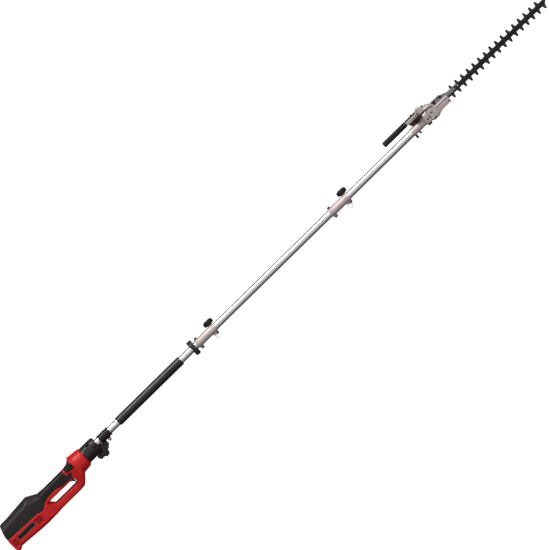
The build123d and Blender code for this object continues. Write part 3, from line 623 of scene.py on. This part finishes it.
def gear_case():
    space = Field((1942, -17, -21), (2061, 12, 38), 0.7)
    x, y, z = space.x, space.y, space.z
    flat = space.outline(CASE)
    # the front wall rounds over at its edges and steps back along the nose
    front = np.where(x < 2004, -16.0, -11.5)
    front = front + np.clip((x - 1998) / 12, 0, 1) * np.where(x < 2004, 4.5, 0)
    solid = smooth_max(flat, front - y, 6)
    solid = np.maximum(solid, y - 8)
    # two long ribs, the parting line round the underside and the ring round the crank chamber
    rib = space.rod_x(1996, 2058, 3.6, y=-9.4, z=10.2)
    solid = smooth_min(solid, rib, 1.5)
    flange = np.maximum(np.maximum(flat, abs(y + 2) - 11.5), z - 1)
    solid = smooth_min(solid, np.maximum(flange, -(flat + 5.5)), 1)
    groove = np.maximum(np.maximum(abs(flat + 5.8) - 1.0, z + 1), abs(x - 2017) - 41)
    solid = np.maximum(solid, -np.maximum(groove, y + 8.4))
    under_rib = np.maximum(abs(z - 5.4) - 0.9, abs(x - 2030) - 26)
    solid = np.maximum(solid, -np.maximum(under_rib, y + 10.2))
    ring = np.hypot(x - CRANK[0], z - CRANK[1])
    solid = np.maximum(solid, -np.maximum(abs(ring - 14.5) - 0.8, y + 14.4))
    upper_arm = union(
        space.rod_z(29.3, 37, 13, PIVOT_X), space.box((PIVOT_X, -13, 29.3), (1990, 13, 37))
    )
    lower_arm = union(
        space.rod_z(-14.6, -10.4, 12, PIVOT_X),
        space.box((PIVOT_X, -11, -14.6), (1980, 11, -10.4)),
    )
    blade_side = space.box((1990, -1, 14), (2030, 20, 30))
    chamber = np.maximum(space.rod_y(7, 11.1, 18, *CRANK), -blade_side)
    solid = union(solid, upper_arm, lower_arm, chamber)
    cut = union(
        space.rod_z(-10.4, 29.3, 21.4, PIVOT_X), space.rod_z(21.5, 29.3, 37, PIVOT_X),
        space.rod_y(-6, 12.2, 15.6, *CRANK), space.rod_y(-12.5, -5, 7, *CRANK),
        space.rod_x(1975, 1992, 4.1), space.rod_x(1980, 1990, 7.5),
        space.box((2024, -9, -10), (2055, 9, 3)), space.rod_z(-20, 40, 4.1, PIVOT_X),
        *(space.rod_y(face - 0.1, 5, 1.7, at, up) for at, up, face in CASE_SCREWS),
        *(space.rod_z(31, 42, 1.7, 1974, side) for side in (-8.5, 8.5)),
    )
    field = np.maximum(solid, -cut)
    add_field("case_front", field, space, "head", "cast", ("gear_case_front",))


def socket():
    """The tube socket and the knuckle's barrel, domed towards the pole."""
    space = Field((1889, -23, -12), (1979, 23, 28), 0.7)
    x, y, z = space.x, space.y, space.z
    ball = np.sqrt(np.minimum(x - PIVOT_X, 0) ** 2 + y**2 + (z - 5) ** 2)
    barrel = smooth_max(space.rod_z(-10, 26, 20.5, PIVOT_X), ball - 24.5, 3)
    pole = union(space.rod_x(1891, 1945, 14.8), space.rod_x(1891, 1902, 15.5))
    solid = smooth_min(pole, barrel, 2)
    # the seam that rings the barrel where it leaves the socket
    seam = np.maximum(abs(x - 1949 + 0.12 * z) - 0.7, -(solid + 0.9))
    cut = union(
        np.maximum(space.rod_z(-7, 23, 17.5, PIVOT_X), ball - 21.5),
        space.rod_x(1880, 1936, 12.6), space.rod_x(1930, PIVOT_X, 6.8),
        space.box((PIVOT_X, -30, -4.2), (1990, 30, 4.2)), space.rod_z(-20, 30, 4.05, PIVOT_X),
        space.rod_z(-20, -13.2, 4.1, 1896), space.rod_z(-20, -13.2, 3.3, 1913), seam,
    )
    field = np.maximum(solid, -cut)
    add_field(
        "socket_body", field, space, "front_section", "cast", ("head_socket",)
    )


def collar():
    space = Field((446, -18, -28), (494, 18, 18), 0.6)
    x, y, z = space.x, space.y, space.z
    radius = np.hypot(y, z)
    band = smooth_max(space.rod_x(447, 493, 16.5), -(x - 446), 1)
    groove = abs((x - 453) % 8 - 1.25) - 1.5
    groove = np.maximum(np.maximum(groove, abs(x - 470.5) - 18.5), 14.9 - radius)
    lug = union(space.rod_y(-4, 4, 6, 475, -21), space.box((470, -4, -21), (480, 4, -14)))
    cut = union(space.rod_x(440, 500, 12.6), space.rod_y(-5, 5, 2.3, 475, -21))
    field = np.maximum(smooth_min(np.maximum(band, -groove), lug, 1), -cut)
    add_field("collar_cover", field, space, "handle", "black", ("strap_collar",))


def sector_web():
    """The rib that ties the lock plate down to the socket behind the barrel."""
    space = Field((1926, -6, 13), (1942, 6, 24), 0.5)
    web = space.box((1928, -4.5, 14.6), (1938.5, 4.5, 22.4))
    web = smooth_max(web, -space.rod_x(1900, 1960, 14.7), 1)
    web = np.maximum(web, -space.rod_z(0, 30, 20.6, PIVOT_X))
    add_field("sector_web", web, space, "front_section", "black")


def dust_shutter():
    """The thin curved wall inside the knuckle that closes its window as the head swings."""
    space = Field((1955, -19, -7), (1977, 19, 7), 0.5)
    radius = np.hypot(space.x - PIVOT_X, space.y)
    field = np.maximum(np.maximum(abs(radius - 16.7) - 0.55, abs(space.z) - 5.6), 1961 - space.x)
    field = np.maximum(field, -space.rod_x(1965, 1980, 4.2))
    add_field("dust_shutter", field, space, "head", "cast")


# ---------------------------------------------------------------- turned pieces
def lathe(name, profile, segments, z=0.0, ripple=None):
    """A closed ring of faces from an outline of (x, radius) points turned about the pole."""
    angles = np.linspace(0, 2 * math.pi, segments, endpoint=False)
    profile = np.asarray(profile, float)
    x = np.repeat(profile[:, :1], segments, 1)
    radius = np.repeat(profile[:, 1:2], segments, 1)
    if ripple:
        radius = radius + ripple(x, angles[None, :]) * (radius > FOAM_BORE + 0.4)
    points = np.stack([x, radius * np.sin(angles), z + radius * np.cos(angles)], 2)
    faces = []
    for row in range(len(profile)):
        here = row * segments
        after = (row + 1) % len(profile) * segments
        for i in range(segments):
            j = (i + 1) % segments
            faces.append((here + i, here + j, after + j, after + i))
    mesh = bpy.data.meshes.new(name)
    mesh.from_pydata(metres(points.reshape(-1, 3)).tolist(), [], faces)
    mesh.shade_smooth()
    return mesh


FOAM_BORE = 12.6
LEVER_Z = 37.0
RINGS = 30
RING_PITCH = 2.7


def foam_waves(x, angle):
    """The slight lumps of a foam sleeve that was pushed onto its tube."""
    return 0.07 * np.sin(x * 0.11) * np.sin(3 * angle + x * 0.02) - 0.07


def grips():
    outer = [(533, FOAM_BORE), (533.2, 14.4), (534.2, 15.6), (536.5, 16.0)]
    outer += [(x, 15.93) for x in np.linspace(545, 812, 60)]
    outer += [(820.5, 16.0), (822.8, 15.6), (823.8, 14.4), (824, FOAM_BORE)]
    inner = [(x, FOAM_BORE) for x in (800, 700, 620, 560)]
    sleeve = lathe("foam_sleeve", outer + inner, 96, ripple=foam_waves)
    foam = add_piece("foam_sleeve", sleeve, "handle", "foam", ("foam_grip",))
    # the lever's rubber sleeve, ringed with fine grooves
    outline = [(1795.2, 5.0), (1795.4, 7.6), (1796.4, 9.0), (1798.4, 9.7)]
    for i in range(RINGS):
        start = 1806 + RING_PITCH * i
        outline += [(start, 9.72), (start + 0.5, 9.4), (start + 1.3, 9.4), (start + 1.8, 9.72)]
    outline += [(1890, 9.72), (1893.8, 9.7), (1896, 9.2), (1896.7, 8.2)]
    outline += [(1896.7, 5.1), (1840, 5.1), (1840, 0.01), (1795.2, 0.01)]
    sleeve = lathe("lever_sleeve", outline, 64, z=LEVER_Z)
    add_piece("lever_sleeve", sleeve, "head", "soft", ("lever_grip",))


# ---------------------------------------------------------------- carried-over nodes
# bevel widths in millimetres
BEVELS = {
    0.6: (
        "trigger", "lock_off_button", "holder_plate", "gear_case_back", "lever_arm",
        "battery_case",
    ),
    0.5: (
        "coupling_1_body", "coupling_2_body", "lock_sector", "blade_upper", "blade_lower",
        "guide_bar", "release_lever", "coupling_1_bolts", "coupling_2_bolts", "blade_bolts",
        "head_fasteners", "pivot_bolt",
    ),
}


def soften_nodes():
    """Broken edges on the machined and moulded nodes, so that they catch the light."""
    for width, names in BEVELS.items():
        for name in names:
            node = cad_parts[name]
            weld = node.modifiers.new("weld", "WELD")
            weld.merge_threshold = 1e-6
            bevel = node.modifiers.new("bevel", "BEVEL")
            bevel.width = width / 1000
            bevel.segments = 2
            bevel.limit_method = "ANGLE"
            bevel.angle_limit = math.radians(40)
            bevel.use_clamp_overlap = True
            node.data.shade_smooth()


finish_nodes()
handle_covers()
label_plates()
nose()
gear_case()
grips()
socket()
collar()
sector_web()
dust_shutter()
soften_nodes()
